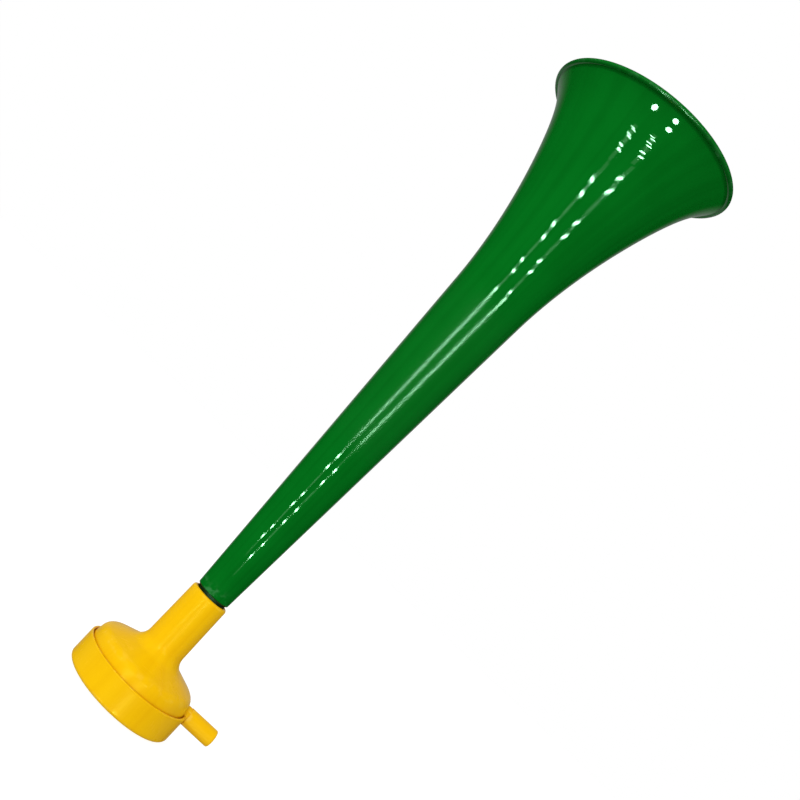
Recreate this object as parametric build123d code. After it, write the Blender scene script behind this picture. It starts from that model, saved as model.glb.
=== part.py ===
from build123d import *
import math
import os

# Mouth-blown fan horn: a flared horn plugged into a round reed head, closed by a push-on cap.
# All sizes are in millimetres. The origin is the centre of the cap's foot, +Z runs up the horn's
# axis to the open bell, and the mouthpiece points along +X.

# Whole object
LENGTH = 400.0
RIM_RADIUS = 56.8

# End cap, a shallow cup that the horn stands on
CAP_RADIUS = 33.3
CAP_HEIGHT = 16.4
CAP_INNER_RADIUS = 31.9
CAP_FLOOR_TOP = 2.4
CAP_CORNER = 2.2
CAP_LIP_ROUND = 0.5
FOOT_RECESS_RADIUS = 24.0
FOOT_RECESS_DEPTH = 0.8
VENT_RADIUS = 3.0

# Film and the ring behind it
RING_INNER_RADIUS = 25.0
RING_HEIGHT = 4.0
RING_CHAMFER = 0.4
FILM_THICKNESS = 0.2
FILM_RADIUS = 31.6

# Head: skirt, dome, collar and sound tube in one moulding
SKIRT_CLEARANCE = 0.05
SKIRT_INNER_RADIUS = 30.2
SKIRT_STRAIGHT_TOP = 14.0
DOME_FOOT = (31.5, 15.4)
DOME_SHOULDER = (30.2, 23.6)
DOME_SHOULDER_ROUND = 5.75
DOME_THICKNESS = 1.7
COLLAR_FOOT_RADIUS = 11.7
COLLAR_TOP_RADIUS = 11.2
COLLAR_TOP = 69.5
COLLAR_FOOT_ROUND = 8.0
COLLAR_LIP_ROUND = 1.5
DOME_TOP = 31.05
SOCKET_RADIUS = 9.05
SOCKET_FLOOR = 36.0
SOUND_BORE_RADIUS = 7.6
SOUND_TUBE_RADIUS = 9.3
EDGE_BREAK = 0.4

# Mouthpiece tube, pressed through the skirt at the seam
MOUTHPIECE_RADIUS = 5.0
MOUTHPIECE_BORE_RADIUS = 3.7
MOUTHPIECE_HEIGHT = 16.0
MOUTHPIECE_INNER_END = 28.0
MOUTHPIECE_OUTER_END = 51.5
MOUTHPIECE_SHOULDER = 33.6
MOUTHPIECE_STUB_RADIUS = 4.8
MOUTHPIECE_ROUND = 1.0
NOTCH_CLEARANCE = 0.2

# Horn: spigot, straight cone, flare and rolled rim
SPIGOT_CLEARANCE = 0.05
SHOULDER_GAP = 1.6
SHOULDER_BREAK = 0.3
CONE_RADIUS_AT_COLLAR = 9.9
CONE_SLOPE = 0.0539
FLARE_START = 280.0
FLARE_GAIN = 23.3
FLARE_POWER = 1.91
ROLL_POWER = 14
HORN_WALL = 1.5
THROAT_BOTTOM = 66.0
THROAT_TOP = 90.0
BEAD_RADIUS = 1.45
BEAD_UNDERSIDE_ANGLE = 247.5
BEAD_INSIDE_ANGLE = 135.0
FLARE_STEPS = 9
FLARE_SKIPPED_INSIDE = 1

# Worked out from the above
FILM_BOTTOM = CAP_FLOOR_TOP + RING_HEIGHT
HEAD_BOTTOM = FILM_BOTTOM + FILM_THICKNESS
SKIRT_RADIUS = CAP_INNER_RADIUS - SKIRT_CLEARANCE
SPIGOT_RADIUS = SOCKET_RADIUS - SPIGOT_CLEARANCE
SHOULDER_BOTTOM = COLLAR_TOP + SHOULDER_GAP
DOME_SLOPE = (DOME_TOP - DOME_SHOULDER[1]) / (DOME_SHOULDER[0] - COLLAR_FOOT_RADIUS)


def turned(outline):
    """The solid of revolution about Z of a closed outline, whose points are (radius, height)."""
    return revolve(Plane.XZ * make_face(outline), Axis.Z)


def rod_along_x(radius, start, end, height):
    """A round bar parallel to X at the given height."""
    return Pos(start, 0, height) * extrude(Plane.YZ * Circle(radius), end - start, dir=(1, 0, 0))


def end_cap():
    """The cup: flat foot with a shallow recess and vent, thin wall, and a notch for the mouthpiece."""
    outline = FilletPolyline(
        (VENT_RADIUS, FOOT_RECESS_DEPTH),
        (FOOT_RECESS_RADIUS - FOOT_RECESS_DEPTH, FOOT_RECESS_DEPTH),
        (FOOT_RECESS_RADIUS, 0),
        (CAP_RADIUS, 0),
        (CAP_RADIUS, CAP_HEIGHT),
        (CAP_INNER_RADIUS + EDGE_BREAK, CAP_HEIGHT),
        (CAP_INNER_RADIUS, CAP_HEIGHT - EDGE_BREAK),
        (CAP_INNER_RADIUS, CAP_FLOOR_TOP),
        (VENT_RADIUS, CAP_FLOOR_TOP),
        radius=[0, 0, 0, CAP_CORNER, CAP_LIP_ROUND, 0, 0, 0, 0],
        close=True,
    )
    cup = turned(outline)
    notch_radius = MOUTHPIECE_RADIUS + NOTCH_CLEARANCE
    notch = rod_along_x(notch_radius, SKIRT_INNER_RADIUS, CAP_RADIUS + 1, MOUTHPIECE_HEIGHT)
    notch_top = Pos((SKIRT_INNER_RADIUS + CAP_RADIUS + 1) / 2, 0, MOUTHPIECE_HEIGHT) * Box(
        CAP_RADIUS + 1 - SKIRT_INNER_RADIUS,
        2 * notch_radius,
        2 * (CAP_HEIGHT - MOUTHPIECE_HEIGHT) + 1,
        align=(Align.CENTER, Align.CENTER, Align.MIN),
    )
    return cup - notch - notch_top


def clamp_ring():
    """The plain ring that backs the film round its edge."""
    top = FILM_BOTTOM
    outline = Polyline(
        (RING_INNER_RADIUS, CAP_FLOOR_TOP),
        (FILM_RADIUS - RING_CHAMFER, CAP_FLOOR_TOP),
        (FILM_RADIUS, CAP_FLOOR_TOP + RING_CHAMFER),
        (FILM_RADIUS, top),
        (RING_INNER_RADIUS + RING_CHAMFER, top),
        (RING_INNER_RADIUS, top - RING_CHAMFER),
        close=True,
    )
    return turned(outline)


def diaphragm():
    """The thin film, a plain disc across the skirt's mouth and the sound tube's mouth."""
    return Pos(0, 0, FILM_BOTTOM) * extrude(Circle(FILM_RADIUS), FILM_THICKNESS)


def head_body():
    """Skirt, dome, collar and the sound tube inside, with the hole for the mouthpiece."""
    dome_drop = DOME_THICKNESS * math.hypot(1, DOME_SLOPE)
    tube_top = DOME_TOP + DOME_SLOPE * (COLLAR_FOOT_RADIUS - SOUND_TUBE_RADIUS) - dome_drop
    inner_shoulder_radius = DOME_SHOULDER[0] - DOME_THICKNESS
    inner_shoulder = DOME_TOP + DOME_SLOPE * (COLLAR_FOOT_RADIUS - inner_shoulder_radius) - dome_drop
    outline = FilletPolyline(
        (SKIRT_INNER_RADIUS, HEAD_BOTTOM),
        (SKIRT_RADIUS - EDGE_BREAK, HEAD_BOTTOM),
        (SKIRT_RADIUS, HEAD_BOTTOM + EDGE_BREAK),
        (SKIRT_RADIUS, DOME_FOOT[1] - EDGE_BREAK),
        DOME_FOOT,
        DOME_SHOULDER,
        (COLLAR_FOOT_RADIUS, DOME_TOP),
        (COLLAR_TOP_RADIUS, COLLAR_TOP),
        (SOCKET_RADIUS + EDGE_BREAK, COLLAR_TOP),
        (SOCKET_RADIUS, COLLAR_TOP - EDGE_BREAK),
        (SOCKET_RADIUS, SOCKET_FLOOR),
        (SOUND_BORE_RADIUS, SOCKET_FLOOR),
        (SOUND_BORE_RADIUS, HEAD_BOTTOM),
        (SOUND_TUBE_RADIUS - EDGE_BREAK, HEAD_BOTTOM),
        (SOUND_TUBE_RADIUS, HEAD_BOTTOM + EDGE_BREAK),
        (SOUND_TUBE_RADIUS, tube_top),
        (inner_shoulder_radius, inner_shoulder),
        (SKIRT_INNER_RADIUS, SKIRT_STRAIGHT_TOP),
        radius=[0, 0, 0, 0, 0, DOME_SHOULDER_ROUND, COLLAR_FOOT_ROUND, COLLAR_LIP_ROUND]
        + [0, 0, 0, 0, 0, 0, 0, EDGE_BREAK, DOME_SHOULDER_ROUND - DOME_THICKNESS, 0],
        close=True,
    )
    hole = rod_along_x(MOUTHPIECE_STUB_RADIUS, SOUND_TUBE_RADIUS + 1, CAP_RADIUS, MOUTHPIECE_HEIGHT)
    return turned(outline) - hole


def mouthpiece_tube():
    """A short straight tube: a slightly thinner stub in the head, a shoulder, and a rounded outer end."""
    stub = rod_along_x(
        MOUTHPIECE_STUB_RADIUS, MOUTHPIECE_INNER_END, MOUTHPIECE_SHOULDER, MOUTHPIECE_HEIGHT
    )
    bar = rod_along_x(MOUTHPIECE_RADIUS, MOUTHPIECE_SHOULDER, MOUTHPIECE_OUTER_END, MOUTHPIECE_HEIGHT)
    bore = rod_along_x(
        MOUTHPIECE_BORE_RADIUS, MOUTHPIECE_INNER_END - 1, MOUTHPIECE_OUTER_END + 1, MOUTHPIECE_HEIGHT
    )
    tube = stub + bar - bore
    outer_end = tube.faces().sort_by(Axis.X)[-1]
    outer_edge = outer_end.edges().sort_by(SortBy.RADIUS)[-1]
    tube = fillet(outer_edge, MOUTHPIECE_ROUND)
    outer_end = tube.faces().sort_by(Axis.X)[-1]
    bore_edge = outer_end.edges().sort_by(SortBy.RADIUS)[0]
    return chamfer(bore_edge, EDGE_BREAK / 2)


def bead_point(angle):
    """A point (radius, height) on the rolled rim's round section, at an angle in degrees."""
    centre_radius = RIM_RADIUS - BEAD_RADIUS
    centre_height = LENGTH - BEAD_RADIUS
    turn = math.radians(angle)
    return (
        centre_radius + BEAD_RADIUS * math.cos(turn),
        centre_height + BEAD_RADIUS * math.sin(turn),
    )


def cone_and_flare(height):
    """Outer radius of the horn without the roll-out next to the rim."""
    radius = CONE_RADIUS_AT_COLLAR + CONE_SLOPE * (height - COLLAR_TOP)
    share = max(0.0, (height - FLARE_START) / (LENGTH - FLARE_START))
    return radius + FLARE_GAIN * share**FLARE_POWER


def horn_radius(height):
    """Outer radius of the horn: cone, flare, and the roll-out that meets the bead's underside."""
    meet_radius, meet_height = bead_point(BEAD_UNDERSIDE_ANGLE)
    meet_share = (meet_height - FLARE_START) / (LENGTH - FLARE_START)
    roll_gain = (meet_radius - cone_and_flare(meet_height)) / meet_share**ROLL_POWER
    share = max(0.0, (height - FLARE_START) / (LENGTH - FLARE_START))
    return cone_and_flare(height) + roll_gain * share**ROLL_POWER


def horn_slope(height):
    """How fast the horn's outer radius grows with height."""
    step = 0.01
    return (horn_radius(height + step) - horn_radius(height - step)) / (2 * step)


def flare_points():
    """Points up the flare's outside, and up its inside one wall away along the normal.

    Next to the rim the wall thickens into the bead, so the inside leaves its last step to the bead.
    """
    outside, inside = [], []
    top = bead_point(BEAD_UNDERSIDE_ANGLE)[1]
    for k in range(FLARE_STEPS + 1):
        share = k / FLARE_STEPS
        height = FLARE_START + (top - FLARE_START) * (2 * share - share * share)
        slope = horn_slope(height)
        radius = horn_radius(height)
        across = HORN_WALL / math.hypot(1, slope)
        outside.append((radius, height))
        inside.append((radius - across, height + across * slope))
    inside = inside[:-FLARE_SKIPPED_INSIDE] + [bead_point(BEAD_INSIDE_ANGLE)]
    return outside, inside


def horn_bell():
    """Spigot, cone, flare and rolled rim, turned from one outline."""
    outside, inside = flare_points()
    throat_radius = horn_radius(THROAT_TOP) - HORN_WALL
    cone_start = SHOULDER_BOTTOM + SHOULDER_BREAK
    spigot = Polyline(
        inside[0],
        (throat_radius, THROAT_TOP),
        (SOUND_BORE_RADIUS, THROAT_BOTTOM),
        (SOUND_BORE_RADIUS, SOCKET_FLOOR),
        (SPIGOT_RADIUS - EDGE_BREAK, SOCKET_FLOOR),
        (SPIGOT_RADIUS, SOCKET_FLOOR + EDGE_BREAK),
        (SPIGOT_RADIUS, SHOULDER_BOTTOM),
        (horn_radius(cone_start) - SHOULDER_BREAK, SHOULDER_BOTTOM),
        (horn_radius(cone_start), cone_start),
        outside[0],
    )
    end_slope = horn_slope(outside[-1][1])
    outer_flare = Spline(*outside, tangents=((CONE_SLOPE, 1), (end_slope, 1)))
    rim = ThreePointArc(outside[-1], bead_point(0), inside[-1])
    along_bead = math.radians(BEAD_INSIDE_ANGLE - 90)
    rim_tangent = (math.cos(along_bead), math.sin(along_bead))
    inner_flare = Spline(*inside, tangents=((CONE_SLOPE, 1), rim_tangent))
    return turned([*spigot.edges(), outer_flare, rim, inner_flare])


def main():
    os.makedirs("parts", exist_ok=True)
    parts = {
        "end_cap": end_cap(),
        "clamp_ring": clamp_ring(),
        "diaphragm": diaphragm(),
        "head_body": head_body(),
        "mouthpiece_tube": mouthpiece_tube(),
        "horn_bell": horn_bell(),
    }
    for name, solid in parts.items():
        export_step(solid, f"parts/{name}.step")


main()
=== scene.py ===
import math

import bmesh
import bpy
from mathutils import Matrix, Vector


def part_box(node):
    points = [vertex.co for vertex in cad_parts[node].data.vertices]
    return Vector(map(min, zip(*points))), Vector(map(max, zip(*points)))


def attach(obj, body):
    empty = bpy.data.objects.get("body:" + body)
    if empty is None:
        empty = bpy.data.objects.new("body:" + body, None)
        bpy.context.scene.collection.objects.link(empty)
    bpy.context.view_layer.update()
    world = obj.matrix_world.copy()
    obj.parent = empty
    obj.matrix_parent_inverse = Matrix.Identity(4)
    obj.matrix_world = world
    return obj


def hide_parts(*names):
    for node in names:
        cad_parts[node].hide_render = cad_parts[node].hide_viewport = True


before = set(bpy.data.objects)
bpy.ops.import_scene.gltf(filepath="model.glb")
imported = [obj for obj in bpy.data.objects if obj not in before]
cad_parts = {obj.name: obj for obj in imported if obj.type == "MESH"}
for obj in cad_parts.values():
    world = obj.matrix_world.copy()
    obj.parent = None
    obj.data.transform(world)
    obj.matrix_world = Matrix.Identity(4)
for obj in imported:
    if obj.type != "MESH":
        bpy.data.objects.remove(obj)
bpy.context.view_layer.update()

# Everything is in metres, in the frame of the CAD model: the horn stands on its cap, +Z up its axis,
# with the mouthpiece along +X. Outlines are (radius, height) points, turned about Z.

# Sizes read from the frame
horn_low, horn_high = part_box("horn_bell")
head_low, head_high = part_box("head_body")
cap_low, cap_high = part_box("end_cap")
tube_low, tube_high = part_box("mouthpiece_tube")
LENGTH = horn_high[2]
RIM_RADIUS = horn_high[0]
SOCKET_FLOOR = horn_low[2]
COLLAR_TOP = head_high[2]
HEAD_BOTTOM = head_low[2]
SKIRT_RADIUS = -head_low[0]
CAP_HEIGHT = cap_high[2]
CAP_RADIUS = -cap_low[0]
TUBE_RADIUS = tube_high[1]
TUBE_HEIGHT = (tube_low[2] + tube_high[2]) / 2
TUBE_START = tube_low[0]
TUBE_END = tube_high[0]

# Sizes inside those boxes, as in the CAD model
EDGE_BREAK = 0.0004
CAP_INNER_RADIUS = 0.0319
CAP_FLOOR_TOP = 0.0024
CAP_CORNER = 0.0022
CAP_LIP_ROUND = 0.0005
FOOT_RECESS_RADIUS = 0.024
FOOT_RECESS_DEPTH = 0.0008
VENT_RADIUS = 0.003
SKIRT_INNER_RADIUS = 0.0302
SKIRT_STRAIGHT_TOP = 0.014
DOME_FOOT = (0.0315, 0.0154)
DOME_SHOULDER = (0.0302, 0.0236)
DOME_SHOULDER_ROUND = 0.00575
DOME_THICKNESS = 0.0017
DOME_TOP = 0.03105
COLLAR_FOOT_RADIUS = 0.0117
COLLAR_TOP_RADIUS = 0.0112
COLLAR_FOOT_ROUND = 0.008
COLLAR_LIP_ROUND = 0.0015
SOCKET_RADIUS = 0.00905
BORE_RADIUS = 0.0076
SOUND_TUBE_RADIUS = 0.0093
TUBE_BORE_RADIUS = 0.0037
TUBE_STUB_RADIUS = 0.0048
TUBE_SHOULDER = 0.0336
TUBE_ROUND = 0.001
NOTCH_CLEARANCE = 0.0002
SPIGOT_RADIUS = 0.009
SHOULDER_GAP = 0.0016
SHOULDER_BREAK = 0.0003
CONE_RADIUS_AT_COLLAR = 0.0099
CONE_SLOPE = 0.0539
FLARE_START = 0.28
FLARE_GAIN = 0.0233
FLARE_POWER = 1.91
ROLL_POWER = 14
HORN_WALL = 0.0015
THROAT_BOTTOM = 0.066
THROAT_TOP = 0.09
BEAD_RADIUS = 0.00145
BEAD_UNDERSIDE_ANGLE = 247.5
BEAD_INSIDE_ANGLE = 135.0
FLARE_INSIDE_SHARE = 8 / 9

# Fineness of the meshes
SEGMENTS = 256
TUBE_SEGMENTS = 96
ARC_STEP = math.radians(9)
FLARE_STEPS = 64
RIM_STEPS = 7
CONE_STEP = 0.005
FINE_STEP = 0.0016
SHARP_ANGLE = math.radians(32)
NOTCH_STEPS = 40
BEAD_STEPS = 24
CUTTER_OVERRUN = 0.001

# Camera
CAMERA_AT = (-0.0725, -0.5258, 0.1548)
CAMERA_YAW = math.radians(2.45)
CAMERA_PITCH = math.radians(2.03)
CAMERA_ROLL = math.radians(43.48)
CAMERA_LENS = 45.6
CAMERA_SENSOR = 36
CAMERA_CLIP = (0.01, 50)
CAMERA_SHIFT = (0.151, -0.0195)

# Two leaning rows of small lamps in pairs, in front of the object. A row is its x at height 0, how far
# it leans per metre of height, and how much higher its lamps are than the heights below.
LAMP_DISTANCE = 1.0
LAMP_ROWS = ((-0.435, 0.37, 0.007), (0.085, 0.6, -0.007))
LAMP_HEIGHTS = (0.405, 0.325, 0.248, 0.167, 0.06, -0.022, -0.094)
LAMP_STAGGER = (0.028, 0.0125)
LAMP_SIZE = (0.15, 0.0065)
LAMP_RADIANCE = 90.0
GLOW_SIZE = (0.10, 0.10)
GLOW_RADIANCE = 1.0

# Larger lamps below the rows, as (x, height, how tall)
LOW_LAMPS = ((-0.443, -0.74, 0.2), (0.154, -0.78, 0.16), (0.154, -0.404, 0.1))
LOW_LAMP_RADIANCE = 60.0

# Soft key light, and the room
KEY_AT = (-0.8, -1.3, 0.9)
KEY_SIZE = 1.1
KEY_RADIANCE = 4.2
ROOM_LIGHT = 0.72
STAGE_ROUGHNESS = 0.9
BACKDROP_RADIUS = 6.5
BACKDROP_LIGHT = 1.0
FLOOR_HALF = 4.0
FLOOR_DROP = 0.0005
FLOOR_COLOUR = (0.3, 0.3, 0.3)
FLOOR_LIGHT = 0.86
CARD_AT = (0.2, 1.5, 0.2)
CARD_HALF = 1.6
CARD_LIGHT = 0.34
CARD_FADE = (0.25, 0.95)

# Patterns of the mouldings, as noise scales per metre
CLOUD_SCALE = 38
STREAK_SCALE = 5.5
FINE_STREAK_SCALE = 28
SCUFF_SCALE = 260
SMEAR_SCALE = 55
HAIRLINE_SCALE = 900
PEEL_SCALE = 420
GRAIN_SCALE = 2600

# How much of each goes into the colour, the roughness or the relief
CLOUD_SHARE = 0.35
STREAK_SHARE = 0.45
FINE_STREAK_SHARE = 0.2
SCUFF_PALENESS = 0.5
SCUFF_DULLNESS = 0.2
SMEAR_DULLNESS = 0.6
HAIRLINE_DULLNESS = 0.4
GRAIN_SHARE = 0.25
EDGE_POINTINESS = (0.506, 0.53)
# Painted shade in hollows: how far ambient occlusion looks, the openness range it darkens over, and how
# dark it paints
SHADE_REACH = 0.0035
SHADE_OPENNESS = (0.25, 0.8)
SHADE_DARKNESS = 0.85
CREASE_EDGE = 0.0009
UPRIGHT = 0.01


# Outlines and meshes

def rounded(*corners):
    """A closed outline from (radius, height, round) corners, each rounded by an arc of that radius."""
    outline = []
    for k, (radius, height, bend) in enumerate(corners):
        corner = Vector((radius, height))
        if not bend:
            outline.append(corner)
            continue
        back = (Vector(corners[k - 1][:2]) - corner).normalized()
        ahead = (Vector(corners[(k + 1) % len(corners)][:2]) - corner).normalized()
        half = back.angle(ahead) / 2
        middle = corner + (back + ahead).normalized() * bend / math.sin(half)
        start = corner + back * bend / math.tan(half) - middle
        end = corner + ahead * bend / math.tan(half) - middle
        first = math.atan2(start.y, start.x)
        sweep = (math.atan2(end.y, end.x) - first + math.pi) % (2 * math.pi) - math.pi
        steps = max(3, math.ceil(abs(sweep) / ARC_STEP))
        for i in range(steps + 1):
            turn = first + sweep * i / steps
            outline.append(middle + bend * Vector((math.cos(turn), math.sin(turn))))
    return outline


def filled(outline, longest):
    """The closed outline with its long straight runs divided into steps."""
    points = []
    for k, point in enumerate(outline):
        after = outline[(k + 1) % len(outline)]
        steps = max(1, math.ceil((after - point).length / longest))
        points += [point.lerp(after, i / steps) for i in range(steps)]
    return points


def piece_from(name, points, faces):
    """A new object of these points and faces, with its faces turned outwards."""
    mesh = bpy.data.meshes.new(name)
    mesh.from_pydata(points, [], faces)
    work = bmesh.new()
    work.from_mesh(mesh)
    bmesh.ops.recalc_face_normals(work, faces=work.faces)
    work.to_mesh(mesh)
    work.free()
    piece = bpy.data.objects.new(name, mesh)
    bpy.context.scene.collection.objects.link(piece)
    return piece


def turned(name, outline, segments=SEGMENTS):
    """The closed solid of an outline turned about Z."""
    count = len(outline)
    points, faces = [], []
    for k in range(segments):
        turn = 2 * math.pi * k / segments
        points += [(r * math.cos(turn), r * math.sin(turn), z) for r, z in outline]
        here, there = k * count, (k + 1) % segments * count
        for i in range(count):
            j = (i + 1) % count
            faces.append((here + i, there + i, there + j, here + j))
    return piece_from(name, points, faces)


def bar_along_x(outline, start, end):
    """A closed bar along X of an outline of (y, z) points, used as a cutter."""
    count = len(outline)
    points = [(x, y, z) for x in (start, end) for y, z in outline]
    faces = [tuple(range(count)), tuple(range(count, 2 * count))]
    for i in range(count):
        j = (i + 1) % count
        faces.append((i, j, count + j, count + i))
    return piece_from("cutter", points, faces)


def cut(piece, cutter):
    """Takes the cutter's volume out of the piece, and deletes the cutter."""
    modifier = piece.modifiers.new("cut", "BOOLEAN")
    modifier.object = cutter
    modifier.operation = "DIFFERENCE"
    modifier.solver = "EXACT"
    graph = bpy.context.evaluated_depsgraph_get()
    piece.data = bpy.data.meshes.new_from_object(piece.evaluated_get(graph))
    piece.modifiers.clear()
    bpy.data.objects.remove(cutter)


def arc(middle, radius, first, last, steps):
    """Points (across, up) on an arc between two angles in degrees."""
    points = []
    for i in range(steps + 1):
        turn = math.radians(first + (last - first) * i / steps)
        points.append(Vector(middle) + radius * Vector((math.cos(turn), math.sin(turn))))
    return points


def finished(piece, node, body, material):
    """Smooth shading, material, and the piece's place in the model: the node it replaces and its body."""
    piece.data.shade_smooth()
    piece.data.set_sharp_from_angle(angle=SHARP_ANGLE)
    piece.data.materials.clear()
    piece.data.materials.append(material)
    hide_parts(node)
    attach(piece, body)


# The four visible pieces

def make_cap():
    """The cup: flat foot with a shallow recess and vent, thin wall, and a notch for the mouthpiece."""
    outline = rounded(
        (VENT_RADIUS, FOOT_RECESS_DEPTH, 0),
        (FOOT_RECESS_RADIUS - FOOT_RECESS_DEPTH, FOOT_RECESS_DEPTH, 0),
        (FOOT_RECESS_RADIUS, 0, 0),
        (CAP_RADIUS, 0, CAP_CORNER),
        (CAP_RADIUS, CAP_HEIGHT, CAP_LIP_ROUND),
        (CAP_INNER_RADIUS + EDGE_BREAK, CAP_HEIGHT, 0),
        (CAP_INNER_RADIUS, CAP_HEIGHT - EDGE_BREAK, 0),
        (CAP_INNER_RADIUS, CAP_FLOOR_TOP, 0),
        (VENT_RADIUS, CAP_FLOOR_TOP, 0),
    )
    cap = turned("cap", filled(outline, FINE_STEP))
    notch_radius = TUBE_RADIUS + NOTCH_CLEARANCE
    above = CAP_HEIGHT + 2 * notch_radius
    notch = arc((0, TUBE_HEIGHT), notch_radius, 180, 360, NOTCH_STEPS)
    notch = [Vector((-notch_radius, above))] + notch + [Vector((notch_radius, above))]
    cut(cap, bar_along_x(notch, SKIRT_INNER_RADIUS, CAP_RADIUS + CUTTER_OVERRUN))
    return cap


def make_head():
    """Skirt, dome, collar and the sound tube inside, with the hole for the mouthpiece."""
    slope = (DOME_TOP - DOME_SHOULDER[1]) / (DOME_SHOULDER[0] - COLLAR_FOOT_RADIUS)
    drop = DOME_THICKNESS * math.hypot(1, slope)
    tube_top = DOME_TOP + slope * (COLLAR_FOOT_RADIUS - SOUND_TUBE_RADIUS) - drop
    inner_radius = DOME_SHOULDER[0] - DOME_THICKNESS
    inner_shoulder = DOME_TOP + slope * (COLLAR_FOOT_RADIUS - inner_radius) - drop
    outline = rounded(
        (SKIRT_INNER_RADIUS, HEAD_BOTTOM, 0),
        (SKIRT_RADIUS - EDGE_BREAK, HEAD_BOTTOM, 0),
        (SKIRT_RADIUS, HEAD_BOTTOM + EDGE_BREAK, 0),
        (SKIRT_RADIUS, DOME_FOOT[1] - EDGE_BREAK, 0),
        (*DOME_FOOT, 0),
        (*DOME_SHOULDER, DOME_SHOULDER_ROUND),
        (COLLAR_FOOT_RADIUS, DOME_TOP, COLLAR_FOOT_ROUND),
        (COLLAR_TOP_RADIUS, COLLAR_TOP, COLLAR_LIP_ROUND),
        (SOCKET_RADIUS + EDGE_BREAK, COLLAR_TOP, 0),
        (SOCKET_RADIUS, COLLAR_TOP - EDGE_BREAK, 0),
        (SOCKET_RADIUS, SOCKET_FLOOR, 0),
        (BORE_RADIUS, SOCKET_FLOOR, 0),
        (BORE_RADIUS, HEAD_BOTTOM, 0),
        (SOUND_TUBE_RADIUS - EDGE_BREAK, HEAD_BOTTOM, 0),
        (SOUND_TUBE_RADIUS, HEAD_BOTTOM + EDGE_BREAK, 0),
        (SOUND_TUBE_RADIUS, tube_top, EDGE_BREAK),
        (inner_radius, inner_shoulder, DOME_SHOULDER_ROUND - DOME_THICKNESS),
        (SKIRT_INNER_RADIUS, SKIRT_STRAIGHT_TOP, 0),
    )
    head = turned("head", filled(outline, FINE_STEP))
    hole = arc((0, TUBE_HEIGHT), TUBE_STUB_RADIUS, 0, 360, TUBE_SEGMENTS)[:-1]
    cut(head, bar_along_x(hole, SOUND_TUBE_RADIUS + CUTTER_OVERRUN, CAP_RADIUS))
    return head


def make_blow_tube():
    """A short straight tube: a slightly thinner stub in the head, a shoulder, and a rounded outer end."""
    outline = rounded(
        (TUBE_BORE_RADIUS, TUBE_START, 0),
        (TUBE_STUB_RADIUS, TUBE_START, 0),
        (TUBE_STUB_RADIUS, TUBE_SHOULDER, 0),
        (TUBE_RADIUS, TUBE_SHOULDER, 0),
        (TUBE_RADIUS, TUBE_END, TUBE_ROUND),
        (TUBE_BORE_RADIUS + EDGE_BREAK / 2, TUBE_END, 0),
        (TUBE_BORE_RADIUS, TUBE_END - EDGE_BREAK / 2, 0),
    )
    tube = turned("blow_tube", filled(outline, FINE_STEP), TUBE_SEGMENTS)
    lie_down = Matrix.Translation((0, 0, TUBE_HEIGHT)) @ Matrix.Rotation(math.radians(90), 4, "Y")
    tube.data.transform(lie_down)
    return tube


def bead_point(angle):
    """A point on the rolled rim's round section, at an angle in degrees."""
    return arc((RIM_RADIUS - BEAD_RADIUS, LENGTH - BEAD_RADIUS), BEAD_RADIUS, angle, angle, 1)[0]


def flare_share(height):
    """How far a height lies between the start of the flare and the rim, from 0 to 1."""
    return max(0.0, (height - FLARE_START) / (LENGTH - FLARE_START))


def cone_and_flare(height):
    """Outer radius of the horn without the roll-out next to the rim."""
    radius = CONE_RADIUS_AT_COLLAR + CONE_SLOPE * (height - COLLAR_TOP)
    return radius + FLARE_GAIN * flare_share(height) ** FLARE_POWER


def horn_radius(height):
    """Outer radius of the horn: cone, flare, and the roll-out that meets the bead's underside."""
    meet = bead_point(BEAD_UNDERSIDE_ANGLE)
    gain = (meet.x - cone_and_flare(meet.y)) / flare_share(meet.y) ** ROLL_POWER
    return cone_and_flare(height) + gain * flare_share(height) ** ROLL_POWER


def horn_slope(height):
    """How fast the horn's outer radius grows with height."""
    step = 1e-5
    return (horn_radius(height + step) - horn_radius(height - step)) / (2 * step)


def curve_between(start, start_way, end, end_way, steps):
    """Points on a smooth curve that leaves and arrives in the given directions."""
    reach = (end - start).length
    points = []
    for i in range(1, steps):
        t = i / steps
        leave = reach * (t ** 3 - 2 * t ** 2 + t) * start_way
        arrive = reach * (t ** 3 - t ** 2) * end_way
        points.append(start.lerp(end, 3 * t ** 2 - 2 * t ** 3) + leave + arrive)
    return points


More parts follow.
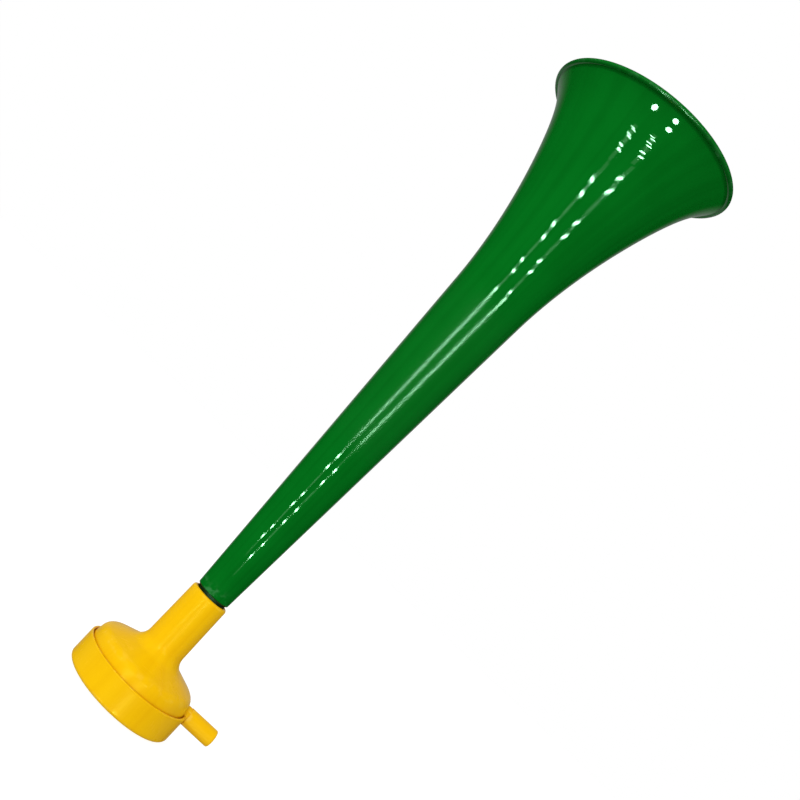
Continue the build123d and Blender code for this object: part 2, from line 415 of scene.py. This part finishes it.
def make_horn():
    """Spigot, cone, flare and rolled rim, turned from one outline."""
    shoulder = COLLAR_TOP + SHOULDER_GAP
    cone_start = shoulder + SHOULDER_BREAK
    flare_top = bead_point(BEAD_UNDERSIDE_ANGLE).y
    outside, inside = [], []
    for k in range(FLARE_STEPS + 1):
        share = k / FLARE_STEPS
        height = FLARE_START + (flare_top - FLARE_START) * (2 * share - share * share)
        slope = horn_slope(height)
        across = HORN_WALL / math.hypot(1, slope)
        outside.append(Vector((horn_radius(height), height)))
        if share <= FLARE_INSIDE_SHARE:
            inside.append(Vector((horn_radius(height) - across, height + across * slope)))
            way_up = Vector((slope, 1)).normalized()
    bead = arc(
        (RIM_RADIUS - BEAD_RADIUS, LENGTH - BEAD_RADIUS),
        BEAD_RADIUS, BEAD_UNDERSIDE_ANGLE, 360 + BEAD_INSIDE_ANGLE, BEAD_STEPS,
    )[1:]
    over = Vector((-1, -1)).normalized()
    rim_inside = curve_between(bead[-1], over, inside[-1], -way_up, RIM_STEPS)
    outline = [
        Vector((BORE_RADIUS, SOCKET_FLOOR)),
        Vector((SPIGOT_RADIUS - EDGE_BREAK, SOCKET_FLOOR)),
        Vector((SPIGOT_RADIUS, SOCKET_FLOOR + EDGE_BREAK)),
        Vector((SPIGOT_RADIUS, shoulder)),
        Vector((horn_radius(cone_start) - SHOULDER_BREAK, shoulder)),
        Vector((horn_radius(cone_start), cone_start)),
        *outside,
        *bead,
        *rim_inside,
        *reversed(inside),
        Vector((horn_radius(THROAT_TOP) - HORN_WALL, THROAT_TOP)),
        Vector((BORE_RADIUS, THROAT_BOTTOM)),
    ]
    return turned("horn", filled(outline, CONE_STEP))


# Materials

def node_tools(name):
    """A new material, its shader, and functions that add a node and wire a value to a socket."""
    material = bpy.data.materials.new(name)
    material.use_nodes = True
    tree = material.node_tree

    def add(kind, inputs=(), **values):
        node = tree.nodes.new("ShaderNode" + kind)
        for key, value in values.items():
            setattr(node, key, value)
        for key, value in dict(inputs).items():
            if isinstance(value, bpy.types.NodeSocket):
                tree.links.new(value, node.inputs[key])
            else:
                node.inputs[key].default_value = value
        return node

    def wire(value, socket):
        tree.links.new(value, socket)

    return material, tree.nodes["Principled BSDF"], add, wire


def math_node(add, operation, first, second):
    """The result of a sum, product or other operation on two values or sockets."""
    return add("Math", {0: first, 1: second}, operation=operation).outputs[0]


def noise(add, vector, scale, detail=2.0, stretch=(1, 1, 1)):
    """A noise value from 0 to 1 at a scale per metre, drawn out along an axis by a stretch under 1."""
    spread = add("Mapping", {"Vector": vector, "Scale": stretch}).outputs[0]
    inputs = {"Vector": spread, "Scale": scale, "Detail": detail}
    return add("TexNoise", inputs).outputs["Fac"]


def between(add, value, low, high, to_low=0.0, to_high=1.0):
    """The value's smooth way from low to high, as a number from to_low to to_high."""
    inputs = {"Value": value, "From Min": low, "From Max": high, "To Min": to_low, "To Max": to_high}
    return add("MapRange", inputs, interpolation_type="SMOOTHSTEP").outputs[0]


def mix_colour(add, factor, first, second):
    """A mix of two colours or colour sockets."""
    first, second = [c if isinstance(c, bpy.types.NodeSocket) else (*c, 1) for c in (first, second)]
    return add("Mix", {0: factor, 6: first, 7: second}, data_type="RGBA").outputs[2]


def round_the_axis(add, place):
    """Coordinates that turn with the azimuth and change little with height, for streaks along the axis."""
    flat = add("VectorMath", {0: place, 1: (1, 1, 0)}, operation="MULTIPLY").outputs[0]
    around = add("VectorMath", {0: flat}, operation="NORMALIZE").outputs[0]
    return add("VectorMath", {0: around, 1: place}, operation="ADD").outputs[0]


def height_band(add, height, low, high, edge):
    """1 between two heights, 0 outside them, with soft edges."""
    rise = between(add, height, low, low + edge)
    fall = between(add, height, high - edge, high, 1.0, 0.0)
    return math_node(add, "MULTIPLY", rise, fall)


def moulded_plastic(name, colour, dim, pale, painted_shade_colour, rough, relief, gloss, dull_bands=(), creases=()):
    """A glossy moulding: pigment clouds, flow streaks along the axis, painted shade in hollows, scuffed
    edges.

    gloss is a (level, tint) of the mirrored light. dull_bands are (low, high, soft edge, added
    roughness) stretches of height with a duller surface. creases are (low, high, darkness)
    stretches painted dark as shade, on faces that stand upright or look down.
    """
    material, shader, add, wire = node_tools(name)
    place = add("TexCoord").outputs["Object"]
    axis_place = round_the_axis(add, place)

    clouds = between(add, noise(add, place, CLOUD_SCALE, 4), 0.35, 0.7)
    streaks = between(add, noise(add, axis_place, STREAK_SCALE, 3, (1, 1, 0.6)), 0.42, 0.68)
    fine_streaks = noise(add, axis_place, FINE_STREAK_SCALE, 2, (1, 1, 0.3))
    shade = math_node(add, "MULTIPLY", clouds, CLOUD_SHARE)
    shade = math_node(add, "ADD", shade, math_node(add, "MULTIPLY", streaks, STREAK_SHARE))
    shade = math_node(add, "ADD", shade, math_node(add, "MULTIPLY", fine_streaks, FINE_STREAK_SHARE))
    pigment = mix_colour(add, shade, colour, dim)

    edges = between(add, add("NewGeometry").outputs["Pointiness"], *EDGE_POINTINESS)
    patches = between(add, noise(add, place, SCUFF_SCALE, 5), 0.45, 0.68)
    scuffs = math_node(add, "MULTIPLY", edges, patches)
    scuffed = mix_colour(add, math_node(add, "MULTIPLY", scuffs, SCUFF_PALENESS), pigment, pale)

    # Painted shade: hollows found by ambient occlusion, and the crease bands below, are painted darker
    # towards the colour given for hollows.
    openness = add("AmbientOcclusion", {"Distance": SHADE_REACH}, samples=12).outputs["AO"]
    painted_shade = between(add, openness, *SHADE_OPENNESS, SHADE_DARKNESS, 0.0)
    height = add("SeparateXYZ", {0: place}).outputs["Z"]
    facing = add("SeparateXYZ", {0: add("NewGeometry").outputs["True Normal"]}).outputs["Z"]
    sheltered = math_node(add, "LESS_THAN", facing, UPRIGHT)
    # Each crease band paints shade on faces that stand upright or look down.
    for low, high, darkness in creases:
        crease = height_band(add, height, low, high, CREASE_EDGE)
        crease_shade = math_node(add, "MULTIPLY", crease, sheltered)
        painted_shade = math_node(add, "MAXIMUM", painted_shade, math_node(add, "MULTIPLY", crease_shade, darkness))
    wire(mix_colour(add, painted_shade, scuffed, painted_shade_colour), shader.inputs["Base Color"])

    smears = noise(add, place, SMEAR_SCALE, 6, (1, 1, 0.5))
    smears = between(add, smears, 0.5, 0.8, 0.0, rough * SMEAR_DULLNESS)
    hairlines = noise(add, place, HAIRLINE_SCALE, 1, (0.08, 0.9, 0.35))
    hairlines = between(add, hairlines, 0.66, 0.74, 0.0, rough * HAIRLINE_DULLNESS)
    dullness = math_node(add, "ADD", rough, smears)
    dullness = math_node(add, "ADD", dullness, hairlines)
    dullness = math_node(add, "ADD", dullness, math_node(add, "MULTIPLY", scuffs, SCUFF_DULLNESS))
    for low, high, edge, added in dull_bands:
        duller = math_node(add, "MULTIPLY", height_band(add, height, low, high, edge), added)
        dullness = math_node(add, "ADD", dullness, duller)
    wire(dullness, shader.inputs["Roughness"])

    peel = noise(add, place, PEEL_SCALE, 2)
    grain = noise(add, place, GRAIN_SCALE, 2)
    skin = math_node(add, "ADD", peel, math_node(add, "MULTIPLY", grain, GRAIN_SHARE))
    bump = add("Bump", {"Height": skin, "Strength": 1.0, "Distance": relief})
    wire(bump.outputs[0], shader.inputs["Normal"])
    shader.inputs["Specular IOR Level"].default_value = gloss[0]
    shader.inputs["Specular Tint"].default_value = (*gloss[1], 1)
    return material


def ring_plastic():
    """Plain off-white moulding, slightly yellowed in clouds, with a fine satin grain."""
    material, shader, add, wire = node_tools("ring plastic")
    place = add("TexCoord").outputs["Object"]
    clouds = between(add, noise(add, place, 60, 5), 0.35, 0.7)
    specks = between(add, noise(add, place, 1500, 2), 0.68, 0.75, 0.0, 0.35)
    tint = mix_colour(add, clouds, (0.78, 0.77, 0.73), (0.68, 0.66, 0.58))
    wire(mix_colour(add, specks, tint, (0.42, 0.39, 0.32)), shader.inputs["Base Color"])
    wire(between(add, clouds, 0, 1, 0.38, 0.5), shader.inputs["Roughness"])
    bump = add("Bump", {"Height": noise(add, place, 2200, 3), "Strength": 0.4, "Distance": 0.00003})
    wire(bump.outputs[0], shader.inputs["Normal"])
    return material


def film_plastic():
    """Thin milky film, with tension wrinkles that run outwards and a fine crinkle."""
    material, shader, add, wire = node_tools("film")
    place = add("TexCoord").outputs["Object"]
    wrinkles = noise(add, round_the_axis(add, place), 16, 3)
    crinkle = noise(add, place, 240, 4)
    wire(
        mix_colour(add, between(add, wrinkles, 0.3, 0.7), (0.82, 0.84, 0.86), (0.66, 0.7, 0.74)),
        shader.inputs["Base Color"],
    )
    wire(between(add, crinkle, 0.3, 0.7, 0.18, 0.34), shader.inputs["Roughness"])
    relief = math_node(add, "ADD", wrinkles, math_node(add, "MULTIPLY", crinkle, 0.3))
    bump = add("Bump", {"Height": relief, "Strength": 0.6, "Distance": 0.0002})
    wire(bump.outputs[0], shader.inputs["Normal"])
    return material


# Camera, lamps and room

def make_camera():
    """Near level, a little below the middle, rolled so that the horn lies aslant."""
    cy, sy = math.cos(CAMERA_YAW), math.sin(CAMERA_YAW)
    cp, sp = math.cos(CAMERA_PITCH), math.sin(CAMERA_PITCH)
    forward = Vector((sy * cp, cy * cp, sp))
    level = forward.cross(Vector((0, 0, 1))).normalized()
    below = forward.cross(level)
    cr, sr = math.cos(CAMERA_ROLL), math.sin(CAMERA_ROLL)
    right = cr * level - sr * below
    down = cr * below + sr * level
    camera = bpy.data.objects.new("camera", bpy.data.cameras.new("camera"))
    turn = Matrix((right, -down, -forward)).transposed()
    camera.matrix_world = Matrix.Translation(CAMERA_AT) @ turn.to_4x4()
    camera.data.sensor_width = CAMERA_SENSOR
    camera.data.lens = CAMERA_LENS
    camera.data.shift_x, camera.data.shift_y = CAMERA_SHIFT
    camera.data.clip_start, camera.data.clip_end = CAMERA_CLIP
    bpy.context.scene.collection.objects.link(camera)
    bpy.context.scene.camera = camera


def area_light(name, shape, width, depth, radiance):
    """An area light of a given size and radiance, to be placed by place_light."""
    light = bpy.data.lights.new(name, "AREA")
    light.shape = shape
    light.size, light.size_y = width, depth
    fill = math.pi / 4 if shape == "ELLIPSE" else 1.0
    light.energy = radiance * math.pi * fill * width * depth
    return light


def place_light(light, at, shines):
    """Puts a light where it faces the middle of the horn. shines is 'glossy' or 'diffuse'."""
    lamp = bpy.data.objects.new(light.name, light)
    lamp.location = at
    middle = Vector((0, 0, LENGTH / 2))
    lamp.rotation_euler = (middle - Vector(at)).to_track_quat("-Z", "Y").to_euler()
    lamp.visible_camera = False
    lamp.visible_diffuse = shines == "diffuse"
    lamp.visible_glossy = shines == "glossy"
    bpy.context.scene.collection.objects.link(lamp)


def make_lights():
    """The paired lamps and the faint glow between them, which the gloss mirrors, and a soft key light."""
    lamp = area_light("lamp", "ELLIPSE", *LAMP_SIZE, LAMP_RADIANCE)
    glow = area_light("glow", "RECTANGLE", *GLOW_SIZE, GLOW_RADIANCE)
    for foot_x, lean, rise in LAMP_ROWS:
        for height in [h + rise for h in LAMP_HEIGHTS]:
            x = foot_x + lean * height
            place_light(glow, (x, -LAMP_DISTANCE, height), "glossy")
            for side in (-1, 1):
                at = (x + side * LAMP_STAGGER[0], -LAMP_DISTANCE, height + side * LAMP_STAGGER[1])
                place_light(lamp, at, "glossy")
    for x, height, tall in LOW_LAMPS:
        low_lamp = area_light("low lamp", "ELLIPSE", LAMP_SIZE[0], tall, LOW_LAMP_RADIANCE)
        place_light(low_lamp, (x, -LAMP_DISTANCE, height), "glossy")
    key = area_light("key", "RECTANGLE", KEY_SIZE, KEY_SIZE, KEY_RADIANCE)
    place_light(key, KEY_AT, "diffuse")


def stage_piece(name, points, faces, colour, light):
    """A stage surface with a plain colour and some light of its own."""
    mesh = bpy.data.meshes.new(name)
    mesh.from_pydata(points, [], faces)
    stage = bpy.data.objects.new(name, mesh)
    material, shader, add, wire = node_tools(name)
    shader.inputs["Base Color"].default_value = (*colour, 1)
    shader.inputs["Roughness"].default_value = STAGE_ROUGHNESS
    shader.inputs["Emission Color"].default_value = (1, 1, 1, 1)
    shader.inputs["Emission Strength"].default_value = light
    mesh.materials.append(material)
    bpy.context.scene.collection.objects.link(stage)
    stage.visible_shadow = False
    return stage, shader, add, wire


def make_room():
    """Even light all round, a white dome and pale floor that only the camera sees, and a mirrored card."""
    world = bpy.data.worlds.new("studio")
    bpy.context.scene.world = world
    world.use_nodes = True
    background = world.node_tree.nodes["Background"]
    background.inputs["Color"].default_value = (1, 1, 1, 1)
    background.inputs["Strength"].default_value = ROOM_LIGHT
    world.cycles_visibility.glossy = False
    world.cycles.sampling_method = "NONE"
    bpy.context.scene.view_settings.view_transform = "Standard"

    s = FLOOR_HALF
    corners = [(-s, -s, 0), (s, -s, 0), (s, s, 0), (-s, s, 0)]
    floor, *_ = stage_piece("floor", corners, [(0, 1, 2, 3)], FLOOR_COLOUR, FLOOR_LIGHT)
    floor.location.z = -FLOOR_DROP
    floor.visible_glossy = False
    floor.visible_diffuse = False

    shell = bmesh.new()
    bmesh.ops.create_icosphere(shell, subdivisions=3, radius=BACKDROP_RADIUS)
    points = [tuple(v.co) for v in shell.verts]
    faces = [tuple(v.index for v in face.verts) for face in shell.faces]
    shell.free()
    dome, *_ = stage_piece("dome", points, faces, (0, 0, 0), BACKDROP_LIGHT)
    dome.visible_glossy = False
    dome.visible_diffuse = False

    w = CARD_HALF
    corners = [(-w, 0, -w), (w, 0, -w), (w, 0, w), (-w, 0, w)]
    card, shader, add, wire = stage_piece("card", corners, [(0, 1, 2, 3)], (0, 0, 0), CARD_LIGHT)
    place = add("TexCoord").outputs["Object"]
    away = add("VectorMath", {0: place}, operation="LENGTH").outputs["Value"]
    fade = between(add, away, CARD_FADE[0] * w, CARD_FADE[1] * w, CARD_LIGHT, 0.0)
    wire(fade, shader.inputs["Emission Strength"])
    card.location = CARD_AT
    card.visible_camera = False
    card.visible_diffuse = False


make_camera()
make_lights()
make_room()

# The groove above the collar, the held middle and the rim's outer edge are duller
green = moulded_plastic(
    "green plastic",
    colour=(0.0014, 0.148, 0.0105), dim=(0.0008, 0.118, 0.0075),
    # The second colour on the next line is painted shade for hollows; the pale one is edge wear.
    pale=(0.05, 0.26, 0.08), painted_shade_colour=(0.0003, 0.02, 0.0015),
    rough=0.03, relief=2e-7, gloss=(0.5, (0.45, 1.0, 0.6)),
    dull_bands=(
        (0.0688, 0.0714, 0.0002, 0.5),
        (0.165, 0.288, 0.02, 0.12),
        (0.3972, 0.402, 0.0008, 0.22),
    ),
    # Painted shade: a dark band in the groove above the collar, and a painted shadow under the rim's bead.
    creases=((0.0686, 0.072, 1.0), (0.3958, 0.3984, 0.4)),
)
# The pale colour is edge wear; the orange-brown one is painted shade in the seam and at the mouthpiece
# root.
yellow_wear_and_shade = {
    "pale": (0.93, 0.66, 0.12), "painted_shade_colour": (0.62, 0.2, 0.0005), "gloss": (0.2, (1.0, 0.92, 0.15)),
}
yellow = moulded_plastic(
    "yellow plastic", colour=(0.90, 0.525, 0.002), dim=(0.84, 0.455, 0.001),
    rough=0.24, relief=2e-6, **yellow_wear_and_shade,
)
yellow_tube = moulded_plastic(
    "yellow tube plastic", colour=(0.90, 0.51, 0.002), dim=(0.84, 0.45, 0.001),
    rough=0.36, relief=3e-6, **yellow_wear_and_shade,
)
finished(make_horn(), "horn_bell", "horn", green)
finished(make_head(), "head_body", "head", yellow)
finished(make_cap(), "end_cap", "cap", yellow)
finished(make_blow_tube(), "mouthpiece_tube", "head", yellow_tube)
for node, material in (("clamp_ring", ring_plastic()), ("diaphragm", film_plastic())):
    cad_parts[node].data.materials.clear()
    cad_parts[node].data.materials.append(material)
